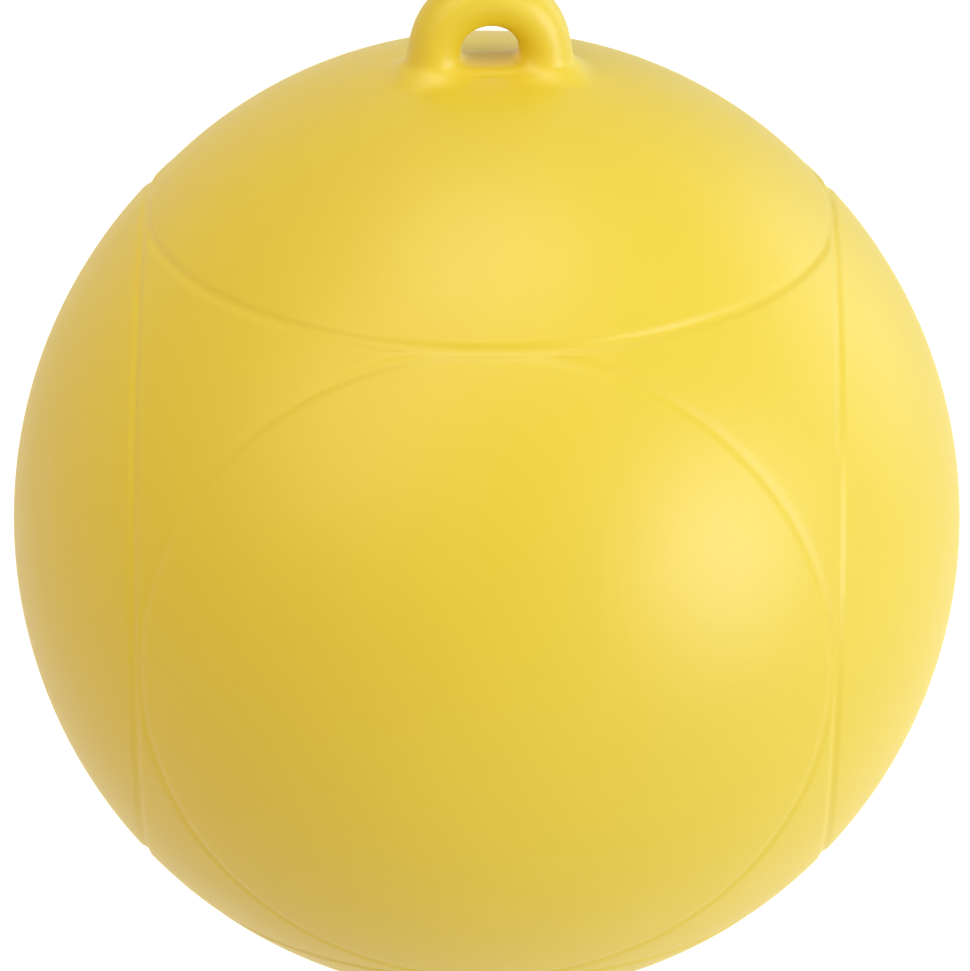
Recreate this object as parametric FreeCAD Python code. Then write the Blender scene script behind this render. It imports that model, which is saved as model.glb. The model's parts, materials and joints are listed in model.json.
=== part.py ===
import FreeCAD, Part
import math
import os

# Slalom buoy: a hollow ball of soft vinyl with a moulded rope eye on its crown
# and a screw valve on its back shoulder. Millimetres, +Z up. The origin is the
# middle of the hole in the eye, where the anchor line passes through.

V = FreeCAD.Vector
UP = V(0, 0, 1)

# Ball: an ellipsoid whose crown, inside the top ring groove, bulges a little
ball_width = 203.0
ball_height = 206.0
crown_bulge = 2.0
wall = 3.0

# Six ring grooves, one about each end of the three axes
groove_half_angle = 44.5
groove_width = 3.0
groove_depth = 0.5

# Rope eye: an arch of thick round-edged bar, standing on a low pad
eye_turn = 5.0
eye_bar_width = 11.2
eye_bar_depth = 12.0
eye_edge_round = 5.0
eye_hole_width = 11.6
eye_hole_height = 8.2
pad_margin = 7.0
pad_rise = 1.0
pad_blend = 2.0

# Valve: a threaded insert moulded into a boss in the wall, its screw plug and seal
valve_polar = 34.0
head_radius = 6.0
head_height = 2.0
shank_radius = 3.95
slot_width = 1.6
slot_depth = 1.1
seal_thickness = 1.2
thread_length = 6.3
thread_clearance = 0.05
head_clearance = 0.6
seal_clearance = 0.3
tip_clearance = 0.3
seat_recess = 0.5
seat_wall = 1.4
flange_reach = 2.5
flange_thickness = 1.6
flange_depth = 6.0
boss_wall = 3.5
boss_floor = 1.0

# Levels on the ball's axis
pole_z = -(pad_rise + eye_hole_height / 2)
centre_z = pole_z - crown_bulge - ball_height / 2
centre = V(0, 0, centre_z)
stretch = ball_height / ball_width

groove_angle = math.radians(groove_half_angle)


def crown_circle(inset):
    """Radius and centre level of the crown's arc, moved in by inset."""
    edge = (ball_width / 2 - inset) * math.sin(groove_angle)
    top = ball_height / 2 - inset + crown_bulge
    height = top - (ball_height / 2 - inset) * math.cos(groove_angle)
    radius = (edge ** 2 + height ** 2) / (2 * height)
    return radius, top - radius


def tall_ball(inset):
    """The ball's solid, moved in by inset: its outline turned in two half turns."""
    half_width = ball_width / 2 - inset
    half_height = ball_height / 2 - inset
    if half_height >= half_width:
        ellipse = Part.Ellipse(V(0, 0, half_height), V(0, half_width, 0), V(0, 0, 0))
        side = Part.ArcOfEllipse(ellipse, math.pi, 2 * math.pi - groove_angle)
    else:
        ellipse = Part.Ellipse(V(0, half_width, 0), V(0, 0, -half_height), V(0, 0, 0))
        side = Part.ArcOfEllipse(ellipse, math.pi / 2, 3 * math.pi / 2 - groove_angle)
    # a spline keeps its ends through the exported file, whatever the ball's proportions
    side = side.toBSpline()
    radius, level = crown_circle(inset)
    middle = math.asin(half_width * math.sin(groove_angle) / radius) / 2
    on_crown = V(0, -radius * math.sin(middle), level + radius * math.cos(middle))
    crown = Part.Arc(side.EndPoint, on_crown, V(0, 0, level + radius))
    axis = Part.LineSegment(crown.EndPoint, side.StartPoint)
    profile = Part.Face(Part.Wire([part.toShape() for part in (side, crown, axis)]))
    half = profile.revolve(V(0, 0, 0), UP, 180)
    other_half = half.copy()
    other_half.rotate(V(0, 0, 0), UP, 180)
    solid = half.fuse(other_half)
    solid.translate(centre)
    return solid


def ring_grooves():
    """Round-bottomed ring cutters, made on a true sphere and stretched with the ball."""
    radius = (groove_width ** 2 / 4 + groove_depth ** 2) / (2 * groove_depth)
    reach = ball_width / 2 + radius - groove_depth
    size = reach * math.sin(groove_angle)
    offset = reach * math.cos(groove_angle)
    taller = FreeCAD.Matrix()
    taller.scale(1, 1, stretch)
    cutters = []
    for axis in (V(1, 0, 0), V(-1, 0, 0), V(0, 1, 0), V(0, -1, 0), V(0, 0, 1), V(0, 0, -1)):
        ring = Part.makeTorus(size, radius, axis * offset, axis)
        ring = ring.transformGeometry(taller)
        ring.translate(centre)
        cutters.append(ring)
    return cutters


def valve_frame():
    """The valve's place on the ball's skin and its outward axis, square to the skin."""
    polar = math.radians(valve_polar)
    out = V(0, math.sin(polar), math.cos(polar))
    radius, level = crown_circle(0)
    skin = out * (level * out.z + math.sqrt(radius ** 2 - (level * out.y) ** 2))
    axis = skin - V(0, 0, level)
    axis.normalize()
    return centre + skin, axis


skin_point, valve_axis = valve_frame()


def round_bar(radius, low, high):
    """A cylinder on the valve's axis between two levels, counted outward from the skin."""
    return Part.makeCylinder(radius, high - low, skin_point + valve_axis * low, valve_axis)


# Levels on the valve's axis, counted outward from the skin
seat_top = -seat_recess
head_foot = seat_top - head_height
seal_foot = head_foot - seal_thickness
seat_foot = seal_foot - thread_length
boss_foot = seat_foot - boss_floor

pocket_radius = head_radius + head_clearance
seat_radius = pocket_radius + seat_wall
flange_radius = seat_radius + flange_reach
boss_radius = flange_radius + boss_wall


def insert_outline(top):
    """The insert's outside: a barrel with a flange that keys it into the boss."""
    flange = round_bar(flange_radius, -flange_depth, flange_thickness - flange_depth)
    return round_bar(seat_radius, seat_foot, top).fuse(flange).removeSplitter()


def make_ball_shell():
    """Hollow ball with its ring grooves and the boss that holds the valve insert."""
    outside = tall_ball(0)
    inside = tall_ball(wall)
    boss = round_bar(boss_radius, boss_foot, -wall / 2)
    cavity = inside.cut(boss)
    shell = outside.cut(cavity)
    shell = shell.cut(insert_outline(wall))
    throat = round_bar(seat_radius, boss_foot - wall, seat_foot)
    shell = shell.cut(throat)
    # one after another, because neighbouring rings run into each other where they pass
    for ring in ring_grooves():
        shell = shell.cut(ring)
    return shell


def bar_section():
    """The eye's bar, cut across: a rectangle with well rounded corners, lying flat."""
    corner = min(eye_edge_round, 0.45 * eye_bar_width, 0.45 * eye_bar_depth)
    block = Part.makeBox(eye_bar_width, eye_bar_depth, 1)
    block = block.makeFillet(corner, [edge for edge in block.Edges if abs(edge.tangentAt(0).z) > 0.9])
    section = [face for face in block.Faces if face.CenterOfMass.z > 1 - 1e-6][0]
    section.translate(V(eye_hole_width / 2, -eye_bar_depth / 2, -1))
    return section


def eye_pad():
    """The low pad under the arch, as a whole ball that stands pad_rise proud of the crown."""
    pad_radius = eye_hole_width / 2 + eye_bar_width + pad_margin
    crown_radius = crown_circle(0)[0]
    height = crown_radius - math.sqrt(crown_radius ** 2 - pad_radius ** 2) + pad_rise
    radius = (pad_radius ** 2 + height ** 2) / (2 * height)
    middle = V(0, 0, pole_z + pad_rise - radius)
    return Part.makeSphere(radius, middle), middle, radius


def make_rope_eye():
    """Arch and its two legs blended into the pad, cut to sit face to face on the crown."""
    arch_z = eye_hole_height / 2 - eye_hole_width / 2
    legs_length = arch_z - pole_z + eye_bar_depth
    right = bar_section()
    right.translate(V(0, 0, arch_z))
    left = right.copy()
    left.rotate(V(0, 0, arch_z), UP, 180)
    arch = right.revolve(V(0, 0, arch_z), V(0, -1, 0), 180)
    for section in (right, left):
        arch = arch.fuse(section.extrude(V(0, 0, -legs_length)))
    arch = arch.removeSplitter()
    pad, middle, radius = eye_pad()
    eye = arch.fuse(pad)
    seams = []
    for edge in (edge for edge in eye.Edges if not edge.Degenerated):
        points = edge.discretize(5)
        on_pad = all(abs(p.distanceToPoint(middle) - radius) < 0.01 for p in points)
        if on_pad and edge.BoundBox.ZMin > pole_z - eye_bar_depth:
            seams.append(edge)
    blend = min(pad_blend, 0.8 * (eye_hole_height - eye_hole_width / 2))
    eye = eye.makeFillet(blend, seams)
    eye.rotate(V(0, 0, 0), UP, eye_turn)
    return eye.cut(tall_ball(0))


def make_valve_seat():
    """Nylon insert: keyed barrel, pocket for the plug's head and the threaded bore."""
    seat = insert_outline(seat_top)
    pocket = round_bar(pocket_radius, seal_foot, wall)
    bore = round_bar(shank_radius + thread_clearance, seat_foot - wall, seal_foot)
    return seat.cut(pocket.fuse(bore))


def make_valve_seal():
    """Flat rubber ring under the plug's head."""
    outer = round_bar(pocket_radius - seal_clearance, seal_foot, head_foot)
    inner = round_bar(shank_radius + seal_clearance, seal_foot, head_foot)
    return outer.cut(inner)


def make_valve_plug():
    """Screw plug: slotted round head and a shank that fits the threaded bore."""
    head = round_bar(head_radius, head_foot, seat_top)
    shank = round_bar(shank_radius, seat_foot + tip_clearance, head_foot)
    plug = head.fuse(shank).removeSplitter()
    slot = Part.makeBox(3 * head_radius, slot_width, 2 * slot_depth)
    slot.translate(V(-1.5 * head_radius, -slot_width / 2, -slot_depth))
    turn = FreeCAD.Rotation(UP, valve_axis)
    slot.Placement = FreeCAD.Placement(skin_point + valve_axis * seat_top, turn) * slot.Placement
    return plug.cut(slot)


nodes = {
    "ball_shell": make_ball_shell,
    "rope_eye": make_rope_eye,
    "valve_seat": make_valve_seat,
    "valve_seal": make_valve_seal,
    "valve_plug": make_valve_plug,
}

os.makedirs("parts", exist_ok=True)
for name, make in nodes.items():
    shape = make()
    if len(shape.Solids) == 1:
        shape = shape.Solids[0]
    shape.exportStep("parts/" + name + ".step")
    print(name, shape.ShapeType, shape.isValid(), round(shape.Volume, 1))
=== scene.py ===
import json
import math

import bpy
from mathutils import Matrix, Vector


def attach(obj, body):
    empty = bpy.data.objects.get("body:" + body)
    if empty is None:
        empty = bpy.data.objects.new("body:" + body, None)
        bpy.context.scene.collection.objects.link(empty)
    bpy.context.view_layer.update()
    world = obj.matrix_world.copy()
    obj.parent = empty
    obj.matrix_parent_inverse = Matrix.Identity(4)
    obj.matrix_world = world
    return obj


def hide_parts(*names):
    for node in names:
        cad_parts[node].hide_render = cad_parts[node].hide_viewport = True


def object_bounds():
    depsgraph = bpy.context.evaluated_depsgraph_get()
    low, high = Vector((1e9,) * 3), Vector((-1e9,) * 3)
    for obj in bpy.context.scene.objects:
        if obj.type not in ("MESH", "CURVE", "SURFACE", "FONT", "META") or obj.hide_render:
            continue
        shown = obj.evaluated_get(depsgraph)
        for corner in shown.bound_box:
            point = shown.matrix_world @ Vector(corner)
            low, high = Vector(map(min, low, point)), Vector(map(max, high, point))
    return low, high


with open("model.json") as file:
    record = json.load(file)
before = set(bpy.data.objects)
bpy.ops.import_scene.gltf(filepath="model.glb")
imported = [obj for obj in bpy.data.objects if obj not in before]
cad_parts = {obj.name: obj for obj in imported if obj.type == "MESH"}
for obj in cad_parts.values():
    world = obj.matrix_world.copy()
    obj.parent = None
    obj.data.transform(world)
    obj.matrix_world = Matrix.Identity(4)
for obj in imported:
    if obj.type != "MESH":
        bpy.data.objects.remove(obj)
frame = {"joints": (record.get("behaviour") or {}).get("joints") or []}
cad_low, cad_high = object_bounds()

# Ball and rope eye. One moulding of soft yellow vinyl: the ball is blown hollow, its mould
# presses six shallow rings into it, and the eye is a thick solid loop that runs into the
# crown with a soft fillet. One cube is boxed out into both, so the skin has no seam.
MM = 0.001
BALL_MIDDLE = Vector((0, 0, -110.1 * MM))
BALL_RADIUS = 101.5 * MM
BALL_STRETCH = 206.0 / 203.0
CROWN_BULGE = 2.0 * MM
CROWN_ANGLE = math.radians(44.5)
RING_DEPTH = 0.5 * MM
# each ring's axis, its angle off that axis and its share of the full depth
RINGS = (((1, 0, 0), 44.5, 0.8), ((-1, 0, 0), 44.5, 0.8), ((0, 1, 0), 44.5, 0.8),
         ((0, -1, 0), 44.5, 0.6), ((0, 0, 1), 45.36, 1), ((0, 0, -1), 44.5, 0.8))
RING_HALF_WIDTH = 1.9 * MM
EYE_TURN = math.radians(5)
LEG_PLACE = 11.4 * MM
BAR_HALF_WIDTH = 5.6 * MM
BAR_HALF_DEPTH = 6.0 * MM
ARCH_MIDDLE = -1.7 * MM
FOOT_FLARE = 3.6 * MM
FOOT_DIP = 3 * MM
SADDLE_HALF_DEPTH = 4.8 * MM
# a leg has twelve corners, and the first is this far off its axis
CORNER_ANGLE = math.radians(15)
# a smoothed outline of twelve corners, or arch of eight steps, draws in by this much
OUTLINE_DRAW = 0.9553
ARCH_DRAW = 0.9746
ARCH_TOP_GAIN = 1.0105
HOLE_TOP_SHARE = 0.92
# where the eye's fillet leaves the skin, as a share of the foot, and how far it runs
FILLET_START = 0.95
FILLET_RUN = 0.4
# how far off the skin the eye begins, and how high up it the crown's lift is shared out
EYE_START = 0.2 * MM
EYE_LIFT_RUN = 4 * MM
# rows of faces on each half, from the foot of the eye's leg to where the cube turns
ROWS_ACROSS = 9
ROWS_ALONG = 10
ROWS_UPWARD = 12
FIRST_ROW_UPWARD = -0.034 * BALL_RADIUS
CUT_THRESHOLD = 0.001 * MM
WELD = 0.005 * MM
MIRROR_WELD = 0.01 * MM
RING_CUTS = 9
RING_CUT_STEP = 0.5 * MM
RING_CUT_REACH = 3.4 * MM


def only(piece):
    """Makes piece the one selected and active object."""
    bpy.ops.object.select_all(action="DESELECT")
    piece.select_set(True)
    bpy.context.view_layer.objects.active = piece


def pick(piece, test, parts="polygons"):
    """Opens piece with only the faces or vertices selected whose middle passes the test."""
    if bpy.context.mode != "OBJECT":
        bpy.ops.object.mode_set(mode="OBJECT")
    only(piece)
    mesh = piece.data
    for group in (mesh.vertices, mesh.edges, mesh.polygons):
        group.foreach_set("select", [False] * len(group))
    for part in getattr(mesh, parts):
        part.select = bool(test(part.center if parts == "polygons" else part.co))
    bpy.ops.object.mode_set(mode="EDIT")
    bpy.ops.mesh.select_mode(type="FACE" if parts == "polygons" else "VERT")


def apply(piece, kind, **settings):
    """Adds one modifier with its settings and applies it."""
    only(piece)
    modifier = piece.modifiers.new(kind.lower(), kind)
    for name, value in settings.items():
        setattr(modifier, name, value)
    bpy.ops.object.modifier_apply(modifier=modifier.name)


def weigh(piece, name, weight):
    """Gives each vertex its weight in a new group, worked out from its place."""
    group = piece.vertex_groups.new(name=name)
    for vertex in piece.data.vertices:
        amount = weight(vertex.co)
        if amount > 0:
            group.add([vertex.index], amount, "REPLACE")
    return name


def ease(value):
    """Runs smoothly from 0 to 1."""
    value = min(max(value, 0), 1)
    return value * value * (3 - 2 * value)


# the crown is an arc over the top ring, CROWN_BULGE above the ball's own top
half_height = BALL_RADIUS * BALL_STRETCH
crown_reach = BALL_RADIUS * math.sin(CROWN_ANGLE)
crown_height = half_height * (1 - math.cos(CROWN_ANGLE)) + CROWN_BULGE
crown_radius = (crown_reach ** 2 + crown_height ** 2) / (2 * crown_height)


def lift(reach):
    """How far the crown stands above the stretched ball, this far from its middle."""
    if reach > crown_reach:
        return 0
    crown = half_height + CROWN_BULGE - crown_radius + math.sqrt(crown_radius ** 2 - reach ** 2)
    return crown - half_height * math.sqrt(1 - (reach / BALL_RADIUS) ** 2)


def above_ball(place):
    """How far a point of the round ball, or of the eye on it, stands off the ball."""
    return (place - BALL_MIDDLE).length - BALL_RADIUS


bpy.ops.object.select_all(action="DESELECT")
bpy.ops.mesh.primitive_cube_add(size=2 * BALL_RADIUS, location=BALL_MIDDLE)
ball = bpy.context.object
ball.name = "ball_and_eye"
bpy.ops.object.transform_apply()

# grid lines on the right half, the nearest of them bounding the foot of the eye's leg
foot_half_width = BAR_HALF_WIDTH + FOOT_FLARE
foot_half_depth = BAR_HALF_DEPTH + FOOT_FLARE
inner_share = math.tan(CORNER_ANGLE)
across = [LEG_PLACE + share * foot_half_width for share in (-1, -inner_share, inner_share, 1)]
along = [share * foot_half_depth for share in (inner_share, 1)]


def evenly(start, count):
    """Places on the ball's skin, evenly spaced from start to where the next face begins."""
    first = math.asin(start / BALL_RADIUS)
    step = (math.pi / 4 - first) / (count + 1)
    return [BALL_RADIUS * math.sin(first + step * (number + 1)) for number in range(count)]


across += evenly(across[-1], ROWS_ACROSS)
along += evenly(along[-1], ROWS_ALONG)
upward = evenly(FIRST_ROW_UPWARD, ROWS_UPWARD)
bpy.ops.object.mode_set(mode="EDIT")
for normal, places in (((1, 0, 0), across), ((0, 1, 0), along), ((0, 0, 1), upward)):
    for place in places:
        for side in (-1, 1):
            offset = side * BALL_RADIUS * math.tan(math.asin(place / BALL_RADIUS))
            bpy.ops.mesh.select_all(action="SELECT")
            bpy.ops.mesh.bisect(plane_co=BALL_MIDDLE + Vector(normal) * offset, plane_no=normal)
bpy.ops.mesh.select_all(action="SELECT")
bpy.ops.mesh.bisect(plane_co=(0, 0, 0), plane_no=(1, 0, 0), clear_inner=True)
bpy.ops.object.mode_set(mode="OBJECT")
for vertex in ball.data.vertices:
    vertex.co = BALL_MIDDLE + (vertex.co - BALL_MIDDLE).normalized() * BALL_RADIUS


def on_foot(place):
    """Whether a face's middle lies in the block that the eye is drawn out of."""
    return (place.x < LEG_PLACE + foot_half_width and abs(place.y) < foot_half_depth
            and place.z > foot_level - FOOT_DIP)


arch_level = BALL_MIDDLE.z + (ARCH_MIDDLE - lift(LEG_PLACE) - BALL_MIDDLE.z) / BALL_STRETCH
foot_level = BALL_MIDDLE.z + math.sqrt(BALL_RADIUS ** 2 - LEG_PLACE ** 2)

# the eye's foot, row by row: a low saddle between the legs, which then go on alone;
# each row has its share of the foot's flare and of the height up to the arch
pick(ball, on_foot)
for flare, rise in ((0.5, 0.2), (0.12, 0.42), (0, 1)):
    if rise == 1:
        pick(ball, lambda place: on_foot(place) and place.z > level - 0.1 * MM
             and place.x > 0.45 * LEG_PLACE)
    bpy.ops.mesh.extrude_region_move()
    bpy.ops.object.mode_set(mode="OBJECT")
    half_width = (BAR_HALF_WIDTH + flare * FOOT_FLARE) / OUTLINE_DRAW
    half_depth = (BAR_HALF_DEPTH + flare * FOOT_FLARE) / OUTLINE_DRAW
    middle = LEG_PLACE * (1 + rise * (1 / ARCH_DRAW - 1))
    level = foot_level + rise * (arch_level - foot_level)
    for vertex in (v for v in ball.data.vertices if v.select):
        if vertex.co.x < 0.5 * (LEG_PLACE - foot_half_width):
            side = 1 if vertex.co.y > 0 else -1
            reach = SADDLE_HALF_DEPTH + flare * FOOT_FLARE
            inner = abs(vertex.co.y) < 0.5 * foot_half_depth
            vertex.co = (0, side * reach * (inner_share if inner else 1), level)
        else:
            angle = math.atan2(vertex.co.y, vertex.co.x - LEG_PLACE)
            vertex.co = (middle + half_width * math.cos(angle), half_depth * math.sin(angle), level)
    bpy.ops.object.mode_set(mode="EDIT")
bpy.ops.mesh.spin(steps=4, angle=math.pi / 2, center=(0, 0, arch_level), axis=(0, 1, 0))
bpy.ops.mesh.delete(type="FACE")
pick(ball, lambda place: abs(place.x) < MIRROR_WELD)
bpy.ops.mesh.delete(type="FACE")
pick(ball, lambda place: place.z > arch_level + MM, "vertices")
bpy.ops.transform.resize(value=(1, 1, ARCH_TOP_GAIN / BALL_STRETCH),
                         center_override=(0, 0, arch_level))
pick(ball, lambda place: place.z > arch_level + MM
     and math.hypot(place.x, place.z - arch_level) < LEG_PLACE - 0.4 * BAR_HALF_WIDTH, "vertices")
bpy.ops.transform.resize(value=(1, 1, HOLE_TOP_SHARE), center_override=(0, 0, arch_level))
bpy.ops.object.mode_set(mode="OBJECT")
apply(ball, "MIRROR", use_axis=(True, False, False), use_clip=True, merge_threshold=MIRROR_WELD)
apply(ball, "SUBSURF", levels=2, render_levels=2)
only(ball)
bpy.ops.object.mode_set(mode="EDIT")
bpy.ops.mesh.select_all(action="SELECT")
bpy.ops.transform.rotate(value=-EYE_TURN, orient_axis="Z", center_override=(0, 0, 0))


def off_ring(place, axis, ring_angle):
    """How far along the skin a point lies from the middle of a ring."""
    return abs((place - BALL_MIDDLE).angle(axis) - ring_angle) * BALL_RADIUS


# the six rings: close loops are cut along each of them, and pressed in afterwards
rings = [(Vector(axis), math.radians(angle), share) for axis, angle, share in RINGS]
for axis, ring_angle, share in rings:
    pick(ball, lambda place: off_ring(place, axis, ring_angle) < RING_CUT_REACH)
    bpy.ops.mesh.hide(unselected=True)
    for number in range(RING_CUTS):
        angle = ring_angle + (number - RING_CUTS // 2) * RING_CUT_STEP / BALL_RADIUS
        bpy.ops.mesh.select_all(action="SELECT")
        bpy.ops.mesh.bisect(plane_co=BALL_MIDDLE + axis * BALL_RADIUS * math.cos(angle), plane_no=axis,
                            threshold=CUT_THRESHOLD)
    bpy.ops.mesh.reveal()
bpy.ops.mesh.select_all(action="SELECT")
bpy.ops.mesh.remove_doubles(threshold=WELD)
bpy.ops.object.mode_set(mode="OBJECT")


def off_eye(place):
    """1 on the ball's own skin, running down to 0 over the fillet at the eye's feet."""
    square_on = Matrix.Rotation(-EYE_TURN, 3, "Z") @ place
    across_foot = (abs(square_on.x) - LEG_PLACE) / foot_half_width
    outside = math.hypot(across_foot, square_on.y / foot_half_depth)
    past_fillet = ease((outside - FILLET_START) / FILLET_RUN)
    return past_fillet * (1 - ease((above_ball(place) - EYE_START) / MM))


def ring_share(place):
    """How deep the rings are at a point, from 0 on the open skin to 1 along their middles."""
    left = 1
    for axis, ring_angle, share in rings:
        away = off_ring(place, axis, ring_angle)
        if away < RING_HALF_WIDTH:
            left *= 1 - share * math.cos(math.pi / 2 * away / RING_HALF_WIDTH) ** 2
    return 1 - left


# the skin is drawn on to a true ball, and then the rings to a slightly smaller one
for name, weight, radius in (
        ("ball_skin", off_eye, BALL_RADIUS),
        ("rings", ring_share, BALL_RADIUS - RING_DEPTH)):
    group = weigh(ball, name, weight)
    ball.data.transform(Matrix.Translation(-BALL_MIDDLE))
    apply(ball, "CAST", cast_type="SPHERE", factor=1, use_radius_as_size=False, size=radius,
          vertex_group=group)
    ball.data.transform(Matrix.Translation(BALL_MIDDLE))

# the ball is a little taller than wide, and its crown stands up under the eye
only(ball)
bpy.ops.object.mode_set(mode="EDIT")
bpy.ops.mesh.select_all(action="SELECT")
bpy.ops.transform.resize(value=(1, 1, BALL_STRETCH), center_override=BALL_MIDDLE)
bpy.ops.object.mode_set(mode="OBJECT")


def crown_share(place):
    """The crown's lift at a point, as a share of the most; the eye rises all of a piece."""
    if place.z < BALL_MIDDLE.z:
        return 0
    on_crown = lift(math.hypot(place.x, place.y))
    part_of_eye = ease(above_ball(place) / EYE_LIFT_RUN - 0.4)
    return (on_crown + part_of_eye * (lift(LEG_PLACE) - on_crown)) / lift(0)


apply(ball, "DISPLACE", vertex_group=weigh(ball, "crown", crown_share), direction="Z",
      strength=lift(0), mid_level=0)
ball.vertex_groups.clear()

# the valve's pocket: the back shoulder is cut flat across, and the cut's edge is drawn
# over a soft lip and down the hole, round the flange that keys the insert in the wall
turn_joint = next(joint for joint in frame["joints"] if joint["name"] == "plug_turn")
VALVE_PLACE = Vector(turn_joint["pos_m"])
VALVE_AXIS = Vector(turn_joint["axis"]).normalized()
SEAT_RADIUS = 8.0 * MM
SEAT_FOOT = -10.0 * MM
FLANGE_RADIUS = 10.5 * MM
FLANGE_TOP = -4.4 * MM
FLANGE_FOOT = -6.0 * MM
LIP = 0.9 * MM
POCKET_REACH = 16 * MM
radius = SEAT_RADIUS + LIP
level = -(crown_radius - math.sqrt(crown_radius ** 2 - radius ** 2))
pick(ball, lambda place: (place - VALVE_PLACE).length < POCKET_REACH)
bpy.ops.mesh.hide(unselected=True)
bpy.ops.mesh.select_all(action="SELECT")
bpy.ops.mesh.bisect(plane_co=VALVE_PLACE + VALVE_AXIS * level, plane_no=VALVE_AXIS,
                    clear_outer=True, threshold=CUT_THRESHOLD)
pocket = ((SEAT_RADIUS + 0.45 * LIP, level - 0.12 * LIP),
          (SEAT_RADIUS + 0.13 * LIP, level - 0.45 * LIP), (SEAT_RADIUS, level - LIP),
          (SEAT_RADIUS, FLANGE_TOP), (FLANGE_RADIUS, FLANGE_TOP), (FLANGE_RADIUS, FLANGE_FOOT),
          (SEAT_RADIUS, FLANGE_FOOT), (SEAT_RADIUS, SEAT_FOOT))
for next_radius, next_level in pocket:
    bpy.ops.mesh.extrude_edges_move(
        TRANSFORM_OT_translate={"value": VALVE_AXIS * (next_level - level)})
    share = next_radius / radius
    bpy.ops.transform.resize(value=(share, share, share),
                             center_override=VALVE_PLACE + VALVE_AXIS * next_level)
    radius, level = next_radius, next_level
bpy.ops.mesh.edge_face_add()
bpy.ops.mesh.reveal()
bpy.ops.mesh.select_all(action="SELECT")
bpy.ops.mesh.normals_make_consistent(inside=False)
bpy.ops.object.mode_set(mode="OBJECT")
bpy.ops.object.shade_smooth_by_angle(angle=math.radians(50))


def add_node(tree, kind, inputs=(), **settings):
    """Adds a node with its settings, and sets each of its inputs or links it to a socket."""
    node = tree.nodes.new(kind)
    for name, value in settings.items():
        setattr(node, name, value)
    for name, value in dict(inputs).items():
        if isinstance(value, bpy.types.NodeSocket):
            tree.links.new(value, node.inputs[name])
        else:
            node.inputs[name].default_value = value
    return node


# what every moulded piece shares: a fine grain on a faint waviness, broad patches of
# tone, and small rubbed spots; each piece gives it the sizes that suit it
WAVE_TO_GRAIN = 6
skin_group = bpy.data.node_groups.new("moulded_skin", "ShaderNodeTree")
for name in ("Grain Scale", "Wave Scale", "Patch Scale"):
    skin_group.interface.new_socket(name, in_out="INPUT", socket_type="NodeSocketFloat")
for name in ("Height", "Patch", "Rub"):
    skin_group.interface.new_socket(name, in_out="OUTPUT", socket_type="NodeSocketFloat")
given = skin_group.nodes.new("NodeGroupInput").outputs
place = add_node(skin_group, "ShaderNodeTexCoord").outputs["Object"]
grain = add_node(skin_group, "ShaderNodeTexNoise", {
    "Vector": place, "Scale": given["Grain Scale"], "Detail": 4, "Roughness": 0.6})
wave = add_node(skin_group, "ShaderNodeTexNoise", {
    "Vector": place, "Scale": given["Wave Scale"], "Detail": 1})
patch = add_node(skin_group, "ShaderNodeTexNoise", {
    "Vector": place, "Scale": given["Patch Scale"], "Detail": 2, "Distortion": 0.4})
height = add_node(skin_group, "ShaderNodeMath", {
    0: wave.outputs["Fac"], 1: WAVE_TO_GRAIN, 2: grain.outputs["Fac"]}, operation="MULTIPLY_ADD")
rub_noise = add_node(skin_group, "ShaderNodeTexNoise", {
    "Vector": place, "Scale": given["Wave Scale"], "Detail": 6, "Roughness": 0.7})
rub = add_node(skin_group, "ShaderNodeMapRange", {
    "Value": rub_noise.outputs["Fac"], "From Min": 0.52, "From Max": 0.72},
    interpolation_type="SMOOTHSTEP")
add_node(skin_group, "NodeGroupOutput", {
    "Height": height.outputs[0], "Patch": patch.outputs["Fac"], "Rub": rub.outputs["Result"]})


def moulded(name, colour, roughness, scales, grain_height, tone):
    """A plastic or rubber: one colour, a little uneven in tone and gloss, over a fine grain."""
    material = bpy.data.materials.new(name)
    material.use_nodes = True
    tree = material.node_tree
    skin = add_node(tree, "ShaderNodeGroup", zip(("Grain Scale", "Wave Scale", "Patch Scale"), scales),
                    node_tree=skin_group).outputs
    brightness = add_node(tree, "ShaderNodeMapRange", {
        "Value": skin["Patch"], "From Min": 0.3, "From Max": 0.7,
        "To Min": 1 - tone, "To Max": 1 + tone})
    toned = add_node(tree, "ShaderNodeHueSaturation", {
        "Color": colour, "Value": brightness.outputs["Result"]})
    gloss = add_node(tree, "ShaderNodeMapRange", {
        "Value": skin["Rub"], "To Min": roughness, "To Max": 0.9 * roughness})
    bump = add_node(tree, "ShaderNodeBump", {"Height": skin["Height"], "Distance": grain_height})
    shader = tree.nodes["Principled BSDF"]
    tree.links.new(toned.outputs["Color"], shader.inputs["Base Color"])
    tree.links.new(gloss.outputs["Result"], shader.inputs["Roughness"])
    tree.links.new(bump.outputs["Normal"], shader.inputs["Normal"])
    return material


# plasticised vinyl: a strong, slightly golden yellow with a satin skin
vinyl = moulded("yellow_vinyl", colour=(0.79, 0.615, 0.03, 1), roughness=0.44, scales=(1400, 45, 11),
                grain_height=0.006 * MM, tone=0.02)
vinyl.node_tree.nodes["Principled BSDF"].inputs["IOR"].default_value = 1.62
ball.data.materials.append(vinyl)
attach(ball, "ball")
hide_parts("ball_shell", "rope_eye")

# Valve insert. A turned ring of natural white nylon, threaded inside and moulded into
# the ball's boss, with a pocket that the plug's head sinks into. It is drawn up row by
# row from one circle, as a lathe would cut it, and set down on the valve's axis.
POCKET_RADIUS = 6.6 * MM
BORE_RADIUS = 4.0 * MM
SEAT_TOP = -0.5 * MM
SEAL_FOOT = -3.7 * MM
BORE_CHAMFER = 0.5 * MM
SHARP_EDGE = math.radians(40)


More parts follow.
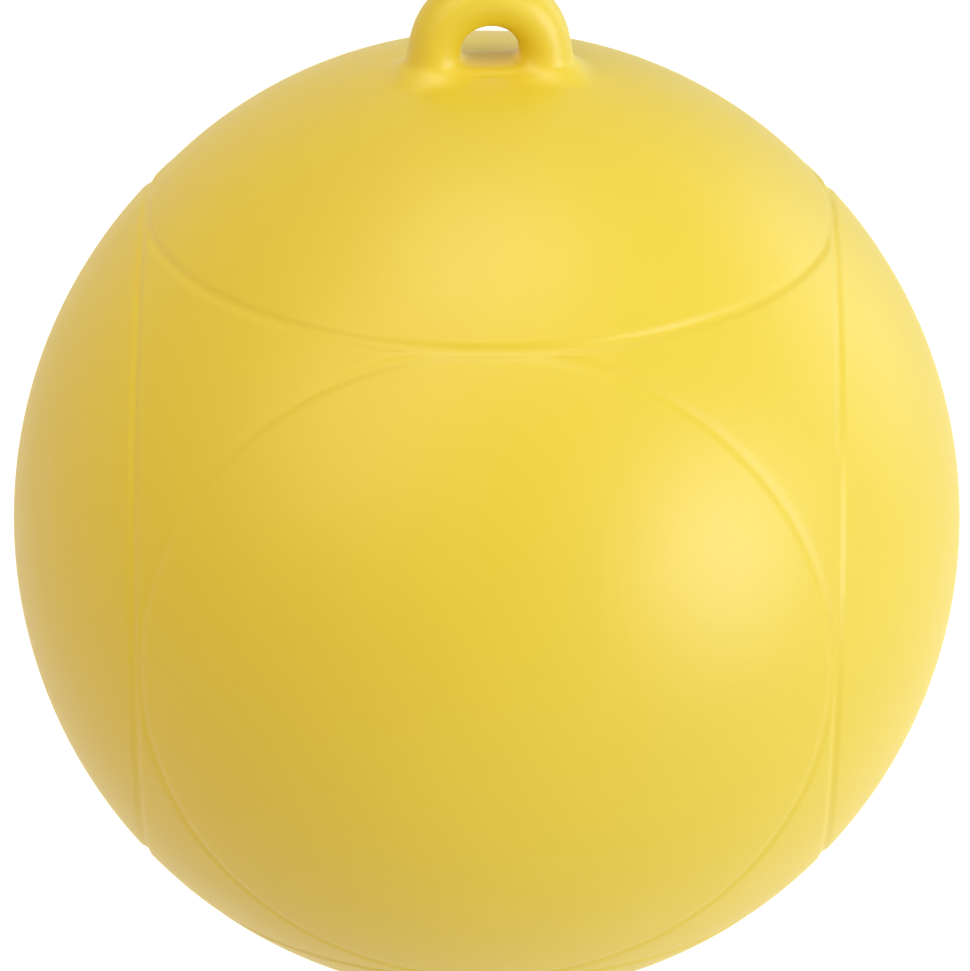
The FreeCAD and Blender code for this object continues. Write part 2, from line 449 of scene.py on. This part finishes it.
def turned(name, rows, closed, sides=96):
    """Draws a round piece upright, row by row, from rows of a radius and a level."""
    bpy.ops.object.select_all(action="DESELECT")
    radius, level = rows[0]
    bpy.ops.mesh.primitive_circle_add(vertices=sides, radius=radius, location=(0, 0, level))
    piece = bpy.context.object
    piece.name = name
    bpy.ops.object.transform_apply()
    bpy.ops.object.mode_set(mode="EDIT")
    bpy.ops.mesh.select_all(action="SELECT")
    for next_radius, next_level in rows[1:]:
        bpy.ops.mesh.extrude_edges_move(TRANSFORM_OT_translate={"value": (0, 0, next_level - level)})
        share = next_radius / radius
        bpy.ops.transform.resize(value=(share, share, 1), center_override=(0, 0, next_level))
        radius, level = next_radius, next_level
    bpy.ops.mesh.select_all(action="SELECT")
    if closed:
        bpy.ops.mesh.remove_doubles(threshold=CUT_THRESHOLD)
    else:
        bpy.ops.mesh.fill_holes(sides=0)
    bpy.ops.mesh.normals_make_consistent(inside=False)
    bpy.ops.object.mode_set(mode="OBJECT")
    return piece


def set_on_valve_axis(piece):
    """Moves a piece drawn upright, with the skin at level 0, to the valve's place."""
    only(piece)
    piece.matrix_world = (Matrix.Translation(VALVE_PLACE)
                          @ Vector((0, 0, 1)).rotation_difference(VALVE_AXIS).to_matrix().to_4x4())
    bpy.ops.object.transform_apply()
    bpy.ops.object.shade_smooth_by_angle(angle=math.radians(35))


seat = turned("valve_insert", (
    (BORE_RADIUS, SEAT_FOOT), (SEAT_RADIUS, SEAT_FOOT), (SEAT_RADIUS, FLANGE_FOOT),
    (FLANGE_RADIUS, FLANGE_FOOT), (FLANGE_RADIUS, FLANGE_TOP), (SEAT_RADIUS, FLANGE_TOP),
    (SEAT_RADIUS, SEAT_TOP), (POCKET_RADIUS, SEAT_TOP), (POCKET_RADIUS, SEAL_FOOT),
    (BORE_RADIUS + BORE_CHAMFER, SEAL_FOOT), (BORE_RADIUS, SEAL_FOOT - BORE_CHAMFER),
    (BORE_RADIUS, SEAT_FOOT)), closed=True)
apply(seat, "BEVEL", width=0.22 * MM, segments=3, limit_method="ANGLE", angle_limit=SHARP_EDGE)
set_on_valve_axis(seat)
nylon = moulded("natural_nylon", colour=(0.82, 0.81, 0.76, 1), roughness=0.38, scales=(3500, 300, 90),
                grain_height=0.003 * MM, tone=0.02)
seat.data.materials.append(nylon)
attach(seat, "ball")
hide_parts("valve_seat")

# Seal. A flat ring of black rubber, cut from sheet. It lies loose on the insert's shoulder,
# round the plug's shank, and the plug's head presses it down and closes the valve.
SEAL_TOP = -2.5 * MM
SEAL_OUTSIDE = 6.3 * MM
SEAL_INSIDE = 4.25 * MM
seal = turned("valve_gasket", (
    (SEAL_OUTSIDE, SEAL_FOOT), (SEAL_OUTSIDE, SEAL_TOP), (SEAL_INSIDE, SEAL_TOP),
    (SEAL_INSIDE, SEAL_FOOT), (SEAL_OUTSIDE, SEAL_FOOT)), closed=True)
apply(seal, "BEVEL", width=0.3 * MM, segments=4, limit_method="ANGLE", angle_limit=SHARP_EDGE)
set_on_valve_axis(seal)
seal.data.materials.append(moulded(
    "black_rubber", colour=(0.025, 0.025, 0.026, 1), roughness=0.62, scales=(2600, 400, 120),
    grain_height=0.005 * MM, tone=0.1))
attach(seal, "seal")
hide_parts("valve_seal")

# Screw plug. Moulded in the same nylon as its insert: a low round head with a slot for
# a coin or a broad blade, and a shank with a coarse thread that is rolled in last.
HEAD_RADIUS = 6.0 * MM
SHANK_RADIUS = 3.95 * MM
SHANK_TIP = -9.7 * MM
SLOT_WIDTH = 1.6 * MM
SLOT_DEPTH = 1.1 * MM
THREAD_PITCH = 1.5 * MM
THREAD_DEPTH = 0.55 * MM
THREAD_ROWS = 48
THREAD_CREST = 0.2
THREAD_FLANK = 0.6
TIP_CHAMFER = 0.7 * MM
thread_foot = SHANK_TIP + TIP_CHAMFER
shank_rows = [(SHANK_RADIUS, thread_foot + (SEAL_FOOT - thread_foot) * row / THREAD_ROWS)
              for row in range(THREAD_ROWS + 1)]
# the head's rim is rounded in three rows, each with its way in and its level
rim_rows = [(HEAD_RADIUS - inward * MM, level * MM)
            for inward, level in ((0, -1.05), (0.25, -0.75), (0.8, -0.57))]
plug = turned("valve_screw", (
    (SHANK_RADIUS - TIP_CHAMFER, SHANK_TIP), *shank_rows, (SHANK_RADIUS, SEAL_TOP),
    (HEAD_RADIUS, SEAL_TOP), *rim_rows, (0.5 * HEAD_RADIUS, SEAT_TOP)), closed=False)
bpy.ops.mesh.primitive_cube_add(size=1, location=(0, 0, SEAT_TOP))
cutter = bpy.context.object
cutter.scale = (3 * HEAD_RADIUS, SLOT_WIDTH, 2 * SLOT_DEPTH)
bpy.ops.object.transform_apply()
apply(plug, "BOOLEAN", operation="DIFFERENCE", object=cutter, solver="EXACT")
bpy.data.objects.remove(cutter)
apply(plug, "BEVEL", width=0.14 * MM, segments=3, limit_method="ANGLE", angle_limit=SHARP_EDGE)


def thread_share(place):
    """How deep the thread's groove is at a point of the shank, from 0 on the crest to 1."""
    if math.hypot(place.x, place.y) < SHANK_RADIUS - 0.2 * MM or place.z > SEAL_FOOT + 0.01 * MM:
        return 0
    along_turn = place.z / THREAD_PITCH - math.atan2(place.y, place.x) / (2 * math.pi)
    from_crest = 2 * abs(along_turn - round(along_turn))
    run_out = ease((SEAL_FOOT - place.z) / THREAD_PITCH)
    return ease((from_crest - THREAD_CREST) / THREAD_FLANK) * run_out


apply(plug, "DISPLACE", vertex_group=weigh(plug, "thread", thread_share), direction="NORMAL",
      strength=-THREAD_DEPTH, mid_level=0)
plug.vertex_groups.clear()
set_on_valve_axis(plug)
plug.data.materials.append(nylon)
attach(plug, "plug")
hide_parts("valve_plug")

# Floor. A round of pale grey board for the buoy's shadow, set a little below it. What the
# camera sees of it glows on to white, its rim fades into the white surroundings, and it is
# clear from beneath, so that the ball's underside shows.
FLOOR_DROP = 90 * MM
FLOOR_REACH = 1.6
FLOOR_GLOW = 0.75
FADE_START = 0.55 * FLOOR_REACH
FADE_END = 0.97 * FLOOR_REACH
bpy.ops.object.select_all(action="DESELECT")
bpy.ops.mesh.primitive_circle_add(vertices=96, radius=FLOOR_REACH, fill_type="NGON",
                                  location=(0, 0, cad_low.z - FLOOR_DROP))
floor = bpy.context.object
floor.name = "floor"
bpy.ops.object.transform_apply()


def seen_directly(tree):
    """1 for what the camera sees, also in a mirror or through glass; 0 for light on things."""
    path = add_node(tree, "ShaderNodeLightPath").outputs
    mirrored = add_node(tree, "ShaderNodeMath", {0: path["Is Camera Ray"], 1: path["Is Glossy Ray"]},
                        operation="MAXIMUM")
    return add_node(tree, "ShaderNodeMath", {0: mirrored.outputs[0], 1: path["Is Transmission Ray"]},
                    operation="MAXIMUM").outputs[0]


# pale, matt and faintly warm, with hardly any gloss
board = bpy.data.materials.new("pale_board")
board.use_nodes = True
tree = board.node_tree
glow = add_node(tree, "ShaderNodeMath", {0: seen_directly(tree), 1: FLOOR_GLOW}, operation="MULTIPLY")
place = add_node(tree, "ShaderNodeTexCoord").outputs["Object"]
from_middle = add_node(tree, "ShaderNodeVectorMath", {0: place}, operation="LENGTH").outputs["Value"]
beneath = add_node(tree, "ShaderNodeNewGeometry").outputs["Backfacing"]
upper_side = add_node(tree, "ShaderNodeMath", {0: 1, 1: beneath}, operation="SUBTRACT")
fade = add_node(tree, "ShaderNodeMapRange", {
    "Value": from_middle, "From Min": FADE_START, "From Max": FADE_END,
    "To Min": upper_side.outputs[0], "To Max": 0}, interpolation_type="SMOOTHSTEP")
shader = tree.nodes["Principled BSDF"]
shader.inputs["Base Color"].default_value = (0.72, 0.69, 0.64, 1)
shader.inputs["Roughness"].default_value = 0.9
shader.inputs["Specular IOR Level"].default_value = 0.1
shader.inputs["Emission Color"].default_value = (1, 1, 1, 1)
tree.links.new(glow.outputs[0], shader.inputs["Emission Strength"])
tree.links.new(fade.outputs["Result"], shader.inputs["Alpha"])
floor.data.materials.append(board)

# Light. A studio tent: a large soft key low on the right, a soft lamp overhead, a warm one
# on the left, a weak one behind the right side, and white surroundings.
LAMP_AWAY = 1.2
AMBIENT = (0.30, 0.255, 0.19, 1)


def toward(azimuth, rise):
    """The direction from the ball, in degrees round from the front to the right, and up."""
    azimuth, rise = math.radians(azimuth), math.radians(rise)
    level = math.cos(rise)
    return Vector((math.sin(azimuth) * level, -math.cos(azimuth) * level, math.sin(rise)))


# each lamp's direction, its width in metres, its power in watts and its colour
LAMPS = (("key", toward(57, 9), 0.8, 8.65, (0.81, 0.88, 1)),
         ("overhead", toward(0, 80), 0.9, 4.8, (0.90, 0.94, 1)),
         ("fill", toward(-40, 40), 0.9, 5.0, (1, 0.77, 0.50)),
         ("side", toward(120, 15), 0.9, 2.9, (0.90, 0.94, 1)))
for name, direction, size, power, colour in LAMPS:
    bpy.ops.object.light_add(type="AREA", location=BALL_MIDDLE + direction * LAMP_AWAY,
                             rotation=(-direction).to_track_quat("-Z", "Y").to_euler())
    lamp = bpy.context.object
    lamp.name = name
    lamp.data.shape = "DISK"
    lamp.data.size = size
    lamp.data.energy = power
    lamp.data.color = colour
world = bpy.data.worlds.new("white_surroundings")
bpy.context.scene.world = world
world.use_nodes = True
tree = world.node_tree
surroundings = add_node(tree, "ShaderNodeMix", {0: seen_directly(tree), 6: AMBIENT, 7: (1, 1, 1, 1)},
                        data_type="RGBA")
tree.links.new(surroundings.outputs[2], tree.nodes["Background"].inputs["Color"])
bpy.context.scene.view_settings.view_transform = "Standard"

# Camera. A long lens a little above the buoy, near enough that its ball fills the picture
# from side to side, with the top of the eye and the foot of the ball just out of it.
CAMERA_RISE = 26.09
CAMERA_AWAY = 1.421
CAMERA_ROLL = math.radians(0.35)
SENSOR_WIDTH = 36
LENS = 244.9
SHIFT_RIGHT = -0.0018
SHIFT_UP = 0.0323
back = toward(0, CAMERA_RISE)
bpy.ops.object.camera_add(location=BALL_MIDDLE + back * CAMERA_AWAY)
camera = bpy.context.object
camera.rotation_euler = (back.to_track_quat("Z", "Y").to_matrix()
                         @ Matrix.Rotation(CAMERA_ROLL, 3, "Z")).to_euler()
camera.data.sensor_width = SENSOR_WIDTH
camera.data.lens = LENS
camera.data.shift_x = SHIFT_RIGHT
camera.data.shift_y = SHIFT_UP
bpy.context.scene.camera = camera
